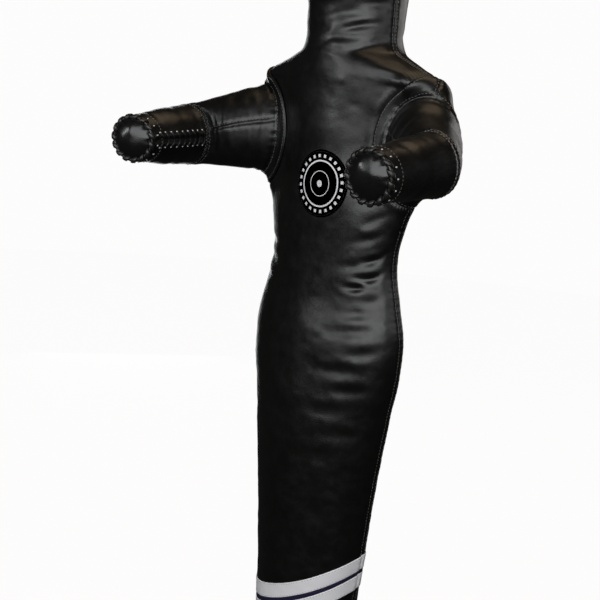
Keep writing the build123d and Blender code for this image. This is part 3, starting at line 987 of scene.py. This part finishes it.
def build_arm(side):
    """Dented skin of one arm, band first: share, run from the armhole, points, normals."""
    share, line, skin = arm_skin(ARM_SHAPES[side])
    base = np.concatenate([band_rows(skin)[:-1], skin])
    share = np.concatenate([np.linspace(-0.25, 0, BAND_ROWS)[:-1], share])
    centre = np.concatenate([np.repeat(line[:1], ROOT_ROW, 0), line])
    normals = turned_to(grid_normals(base, True), base - centre[:, None])
    step = np.linalg.norm(np.diff(base, axis=0), axis=2)
    run = np.concatenate([np.zeros((1, len(PHI))), np.cumsum(step, 0)])
    girth = PHI[None] * ARM_R
    root, elbow = run[ROOT_ROW], run[ELBOW_ROW]
    # the armhole band stands proud between its two seams
    dent = BAND_THICK * ease(run / 0.004) * (1 - ease((run - root + 0.002) / 0.003))
    dent = dent + seam_groove(np.abs(run - root - 0.001), girth)
    dent = dent + seam_groove(np.abs(run - elbow), girth) * ELBOW_GROOVE
    dent = dent + ELBOW_LIP * hump(np.abs(run - elbow) - ELBOW_LIP_AWAY, ELBOW_LIP_WIDE)
    sleeve = (share > 0)[:, None]
    upper = ((share > 0.0) & (share < 1.0))[:, None]
    seam = np.abs(turn_from(SEAM_PHI, PHI))[None] * UPPER_R
    dent = dent + upper * seam_groove(seam, run) * LONG_GROOVE
    puff = hump(turn_from(PUFF_PHI, PHI), PUFF_WIDE)[None]
    dent = dent + PUFF_TALL * puff * np.sin(math.pi * np.clip(share / 0.25 + 1, 0, 1))[:, None]
    joint = np.abs(turn_from(BAND_JOINT_PHI, PHI))[None] * BAND_R
    dent = dent + (share <= 0)[:, None] * seam_groove(joint, run) * LONG_GROOVE
    creases = np.zeros(base.shape[:2])
    for angle, place, reach, width, depth, slant in ARM_FOLDS:
        u = turn_from(math.radians(angle), PHI[None]) / math.radians(reach)
        creases += fold(u, (share[:, None] - place - slant * u) / width, depth)
    dent = dent + sleeve * creases
    dent = dent + sleeve * ARM_LUMPS[0] * lattice(base, *ARM_LUMPS[1:])
    dent = dent + ARM_PORES[0] * lattice(base, *ARM_PORES[1:])
    # the slit's edges pull together along the forearm's inner side
    slit = np.abs(turn_from(math.pi, PHI))[None] * FORE_R
    start, end = (ease((share - place) / fade) for place, fade in (SLIT_FROM, SLIT_TO))
    laced = (start * (1 - end))[:, None]
    dent = dent - laced * SLIT_DEPTH * hump(slit, 0.0035)
    dent = dent + laced * SLIT_LIP * hump(slit - 0.009, 0.0045)
    points = base + normals * dent[..., None]
    return share, run, points, turned_to(grid_normals(points, True), normals)


ARMS = {side: build_arm(side) for side in ARM_SHAPES}


def sided(points, side):
    """The left arm's points, or their mirror image for the right arm."""
    return points * np.array([1.0 if side == "left" else -1.0, 1.0, 1.0])


def arm_at(side, share, phi):
    """Points and normals on an arm's dented skin, where the arm really is."""
    shares, _run, points, normals = ARMS[side]
    share, phi = np.broadcast_arrays(share, np.mod(phi, 2 * math.pi))
    column = phi / (2 * math.pi) * len(PHI)
    c = np.floor(column).astype(int) % len(PHI)
    u = (column - np.floor(column))[..., None]
    place = (*bracket(shares, share), c, (c + 1) % len(PHI), u)
    return sided(between(points, *place), side), sided(normalise(between(normals, *place)), side)


def sheet_on_arm(name, side, rows, material):
    """A stretch of an arm's skin as a closed sheet."""
    _share, _run, points, normals = ARMS[side]
    points, normals = sided(points[rows], side), sided(normals[rows], side)
    if (grid_normals(points, True) * normals).sum() < 0:
        points, normals = points[:, ::-1], normals[:, ::-1]
    return closed_sheet(name, points, True, material, normals, THICK)


def arm_bend(side, joint):
    """Bodies, and start and end, of the bend at a shoulder or an elbow."""
    flip = Vector((1, 1, 1)) if side == "left" else Vector((-1, 1, 1))
    elbow = ARM_SHAPES[side][0]
    if joint == "shoulder":
        way = (elbow - SHOULDER).normalized()
        start, end = SHOULDER + way * 0.008, SHOULDER + way * 0.085
        return ("torso", side + "_upper_arm"), (start * flip, end * flip)
    way = Vector(ARM_SHAPES[side][2]).normalized()
    start, end = elbow + way * 0.012, elbow + way * 0.085
    return (side + "_upper_arm", side + "_forearm"), (start * flip, end * flip)


def disc_frame(way):
    way = Vector(way).normalized()
    across = way.orthogonal().normalized()
    return np.array(way), np.array(across), np.array(way.cross(across))


def ring_ways(way, angle):
    _way, across, up = disc_frame(way)
    return np.cos(angle)[:, None] * across + np.sin(angle)[:, None] * up


def make_rim(name, centre, way, radius, wrap, turns, body, node):
    """A braid round a disc's rim: a cord, and a flat lace wound over it."""
    angle = around(turns * 20)
    radial, wind = ring_ways(way, angle), angle * turns
    out = radial * np.cos(wind)[:, None] + disc_frame(way)[0] * np.sin(wind)[:, None]
    lace = tube(np.array(centre) + radial * radius + out * wrap, out, *LACE_HALF, closed=True)
    angle = around(96)
    radial = ring_ways(way, angle)
    core = wrap - LACE_BITE
    cord = tube(np.array(centre) + radial * radius, radial, core, core, closed=True, sides=12)
    ride(strands(name, [lace, cord], LACE), body, "lacing", node)


def make_cap(name, centre, way, radius, dome, body, node):
    """A domed disc of glossy leather with small gathers at its rim."""
    angle = around(192)
    radial, way = ring_ways(way, angle), disc_frame(way)[0]
    grid = []
    for s in np.concatenate([np.linspace(0.004, 0.9, 30), [0.93, 0.96, 0.98, 1.0]]):
        gathers = GATHER_TALL * s ** 9 * np.cos(angle * GATHERS)
        height = dome * max(0.0, 1 - s ** 2.4) ** 0.75 + gathers
        grid.append(np.array(centre) + radial * radius * s + way * height[:, None])
    grid = np.array(grid)
    grid = grid + 0.0006 * lattice(grid, 55, 31)[..., None] * way
    if (grid_normals(grid, True).mean((0, 1)) * way).sum() < 0:
        grid = grid[:, ::-1]
    obj = closed_sheet(name, grid, True, GLOSSY, grid_normals(grid, True), 0.002)
    ride(obj, body, "cap_leather", node)


def make_arm(side):
    pre = side + "_"
    band = sheet_on_arm(pre + "armhole_band_leather", side, slice(0, ROOT_ROW + 1), BLACK)
    ride(band, "torso", "cover_leather", pre + "armhole_band")
    bodies, bend = arm_bend(side, "shoulder")
    upper = sheet_on_arm(pre + "upper_sleeve_leather", side, slice(ROOT_ROW, ELBOW_ROW + 1), BLACK)
    settle(upper, bodies, bend, "cover_leather", [pre + "upper_sleeve", pre + "upper_arm_filling"])
    fore_bodies, fore_bend = arm_bend(side, "elbow")
    fore = sheet_on_arm(pre + "forearm_sleeve_leather", side, slice(ELBOW_ROW, None), BLACK)
    nodes = [pre + "forearm_sleeve", pre + "forearm_filling"]
    settle(fore, fore_bodies, fore_bend, "cover_leather", nodes)
    make_arm_thread(side)
    make_arm_lacing(side)
    way = sided(disc_frame(ARM_SHAPES[side][3])[0], side)
    centre = sided(np.array(ARM_SHAPES[side][1]), side) + way * 0.002
    end, body = pre + "arm_end_", pre + "forearm"
    make_rim(pre + "stump_braid", centre, way, STUMP_R - 0.0035, 0.0046, 15, body, end + "lacing")
    centre = centre + way * 0.001
    make_cap(pre + "stump_cap", centre, way, STUMP_R - 0.0060, CAP_DOME, body, end + "cap")


def ring_line(side, row, offset):
    """A closed line round the arm, an offset in metres past a row."""
    _share, run, points, normals = ARMS[side]
    rows = []
    for c, target in enumerate(run[row] + offset):
        columns = (*points[:, c].T, *normals[:, c].T)
        rows.append([np.interp(target, run[:, c], column) for column in columns])
    rows = np.array(rows)
    return sided(rows[:, :3], side), sided(rows[:, 3:], side), True


def make_arm_thread(side):
    pre = side + "_"
    lines = [ring_line(side, 0, STITCH_AWAY), ring_line(side, ROOT_ROW, -STITCH_AWAY)]
    share = np.linspace(-0.24, -0.02, 20)
    for turn in (-0.045, 0.045):
        lines.append((*arm_at(side, share, BAND_JOINT_PHI + turn), False))
    ride(stitches(pre + "armhole_stitching", lines, THREAD), "torso", "thread")
    lines = [ring_line(side, ELBOW_ROW, -STITCH_AWAY)]
    lines.append((*arm_at(side, np.linspace(0.05, 0.97, 80), SEAM_PHI - 0.065), False))
    settle(
        stitches(pre + "upper_sleeve_stitching", lines, THREAD), *arm_bend(side, "shoulder"), "thread"
    )
    places = ((ELBOW_ROW, STITCH_AWAY), (ELBOW_ROW, 0.0080), (-1, -0.0200))
    lines = [ring_line(side, row, offset) for row, offset in places]
    settle(stitches(pre + "forearm_stitching", lines, THREAD), *arm_bend(side, "elbow"), "thread")


def make_arm_lacing(side):
    pre = side + "_"
    shares, runs = ARMS[side][0], ARMS[side][1][:, len(PHI) // 2]
    start, end = runs[-1] - 0.016, runs[ELBOW_ROW] + 0.012

    def surface(along, across):
        """along runs from the stump towards the elbow."""
        share = np.interp(start - along, runs, shares)
        return arm_at(side, share, math.pi - across / arm_size(share)[..., 0])

    bodies, bend = arm_bend(side, "elbow")
    pitch = (start - end - 0.008) / 8
    tubes, highlight_beads = herringbone(surface, start - end - 0.007, 0.0150, pitch, 0.0080, 0.0019, 0.0009)
    obj = strands(pre + "forearm_lace_strands", tubes, LACE)
    settle(obj, bodies, bend, "lacing", [pre + "forearm_lacing", pre + "forearm_tongue"])
    # pale beads at the holes: painted highlights where the dark lace comes out
    obj = beads(pre + "forearm_lace_highlight_beads", *highlight_beads, (0.0017, 0.0015, 0.0010), PAINTED_HIGHLIGHT_THREAD)
    settle(obj, bodies, bend, "thread")
    # pale beads at the ends of the rim's lace on the sleeve: painted highlights on the dark lace
    turn = around(15)
    share = np.full_like(turn, float(np.interp(runs[-1] - 0.0085, runs, shares)))
    p, n = arm_at(side, share, turn)
    q, _n = arm_at(side, share - 0.01, turn)
    obj = beads(pre + "stump_lace_highlight_beads", p + n * 0.0004, p - q, n, (0.0020, 0.0014, 0.0010), PAINTED_HIGHLIGHT_THREAD)
    settle(obj, bodies, bend, "thread")


# ---- foot
def make_foot():
    low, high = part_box("leg_end_lacing")
    half = (high.z - low.z) / 2
    centre = (0, 0, (low.z + high.z) / 2)
    wrap = half - 0.0012
    make_rim("foot_braid", centre, (0, 0, -1), high.x - half, wrap, 30, "leg", "leg_end_lacing")


def dress_cad_nodes():
    """Materials of the CAD nodes that stay: the foot's disc and what lies inside the leg."""
    for node, material in (("leg_end_cap", GLOSSY), ("base_board", BOARD), ("ballast_bag", CANVAS)):
        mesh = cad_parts[node].data
        mesh.materials.clear()
        mesh.materials.append(material)


# ---- stage
BACKDROP = (0.985, 0.975, 0.975, 1)
FLOOR_R, FLOOR_SIDES, FLOOR_DROP = 6, 64, 0.0002


def make_stage():
    """A pale world that the camera sees but that hardly lights the dummy, and a pale floor."""
    world = bpy.data.worlds.new("studio")
    bpy.context.scene.world = world
    world.use_nodes = True
    tree = world.node_tree
    seen = tree.nodes["Background"]
    set_inputs(seen, Color=BACKDROP, Strength=1.0)
    fill = add_node(tree, "ShaderNodeBackground", Color=(1.0, 0.97, 0.93, 1), Strength=0.02)
    path = add_node(tree, "ShaderNodeLightPath")
    mix = add_node(tree, "ShaderNodeMixShader")
    tree.links.new(path.outputs["Is Camera Ray"], mix.inputs["Fac"])
    tree.links.new(fill.outputs["Background"], mix.inputs[1])
    tree.links.new(seen.outputs["Background"], mix.inputs[2])
    tree.links.new(mix.outputs["Shader"], tree.nodes["World Output"].inputs["Surface"])

    material, _tree, shader = new_material("pale_floor")
    set_inputs(
        shader, Base_Color=(0.02, 0.02, 0.02, 1), Roughness=0.9, Specular_IOR_Level=0.0,
        Emission_Color=BACKDROP, Emission_Strength=0.99,
    )
    turn = around(FLOOR_SIDES)
    rim = np.stack([FLOOR_R * np.cos(turn), FLOOR_R * np.sin(turn), 0 * turn - FLOOR_DROP], 1)
    floor = new_object("floor", rim, [tuple(range(FLOOR_SIDES))], material)
    floor.visible_diffuse = False
    floor.visible_glossy = False


def area_light(name, place, target, size, power, colour):
    data = bpy.data.lights.new(name, "AREA")
    data.shape = "RECTANGLE"
    data.size, data.size_y = size
    data.energy = power
    data.color = colour
    obj = bpy.data.objects.new(name, data)
    obj.location = place
    obj.rotation_euler = (Vector(target) - Vector(place)).to_track_quat("-Z", "Y").to_euler()
    obj.visible_camera = False
    bpy.context.scene.collection.objects.link(obj)


def polar(azimuth, distance, height):
    """A place round the dummy; azimuth 0 is in front of it, 90 on its left."""
    a = math.radians(azimuth)
    return Vector((math.sin(a) * distance, -math.cos(a) * distance, height))


DAYLIGHT = (0.97, 0.985, 1.0)


def make_lights():
    area_light("window", polar(27, 2.9, 1.75), (0, 0, 1.75), (4.2, 1.8), 84, DAYLIGHT)
    area_light("door", polar(-25, 3.0, 1.50), (0, 0, 1.25), (0.6, 0.6), 9, DAYLIGHT)
    area_light("ceiling", (0.1, 0.1, 3.6), (0, 0, 1.2), (2.2, 2.2), 20, (1.0, 0.77, 0.52))
    area_light("right_wall", polar(-118, 3.0, 1.0), (0, 0, 1.0), (0.9, 2.2), 16, (0.95, 0.98, 1.0))
    area_light("left_wall", polar(88, 3.0, 2.0), (0, 0, 1.5), (1.8, 1.2), 12, DAYLIGHT)
    area_light("back_wall", polar(176, 3.0, 1.6), (0, 0, 1.1), (2.2, 1.8), 16, (1.0, 0.97, 0.94))


def make_camera():
    data = bpy.data.cameras.new("camera")
    data.sensor_width, data.lens = 36, CAMERA_LENS
    camera = bpy.data.objects.new("camera", data)
    bpy.context.scene.collection.objects.link(camera)
    pitch, roll = math.radians(CAMERA_PITCH), math.radians(CAMERA_ROLL)
    level = -polar(CAMERA_AZIMUTH + CAMERA_AIM, 1.0, 0.0)
    forward = level * math.cos(pitch) - Vector((0, 0, math.sin(pitch)))
    right = forward.cross(Vector((0, 0, 1))).normalized()
    up = right.cross(forward)
    rolled_right = right * math.cos(roll) + up * math.sin(roll)
    rolled_up = up * math.cos(roll) - right * math.sin(roll)
    stand = polar(CAMERA_AZIMUTH, CAMERA_DISTANCE, CAMERA_HEIGHT)
    camera.location = stand + rolled_right * CAMERA_SIDEWAYS
    camera.rotation_mode = "QUATERNION"
    turn = Matrix((rolled_right, rolled_up, -forward)).transposed()
    camera.rotation_quaternion = turn.to_quaternion()
    bpy.context.scene.camera = camera


# ---- build
make_camera()
make_stage()
make_lights()
make_trunk_covers()
make_trunk_stitching()
make_stripes()
make_badge()
make_back_lacing()
for arm in ARMS:
    make_arm(arm)
make_foot()
dress_cad_nodes()
bpy.context.scene.view_settings.view_transform = "Standard"
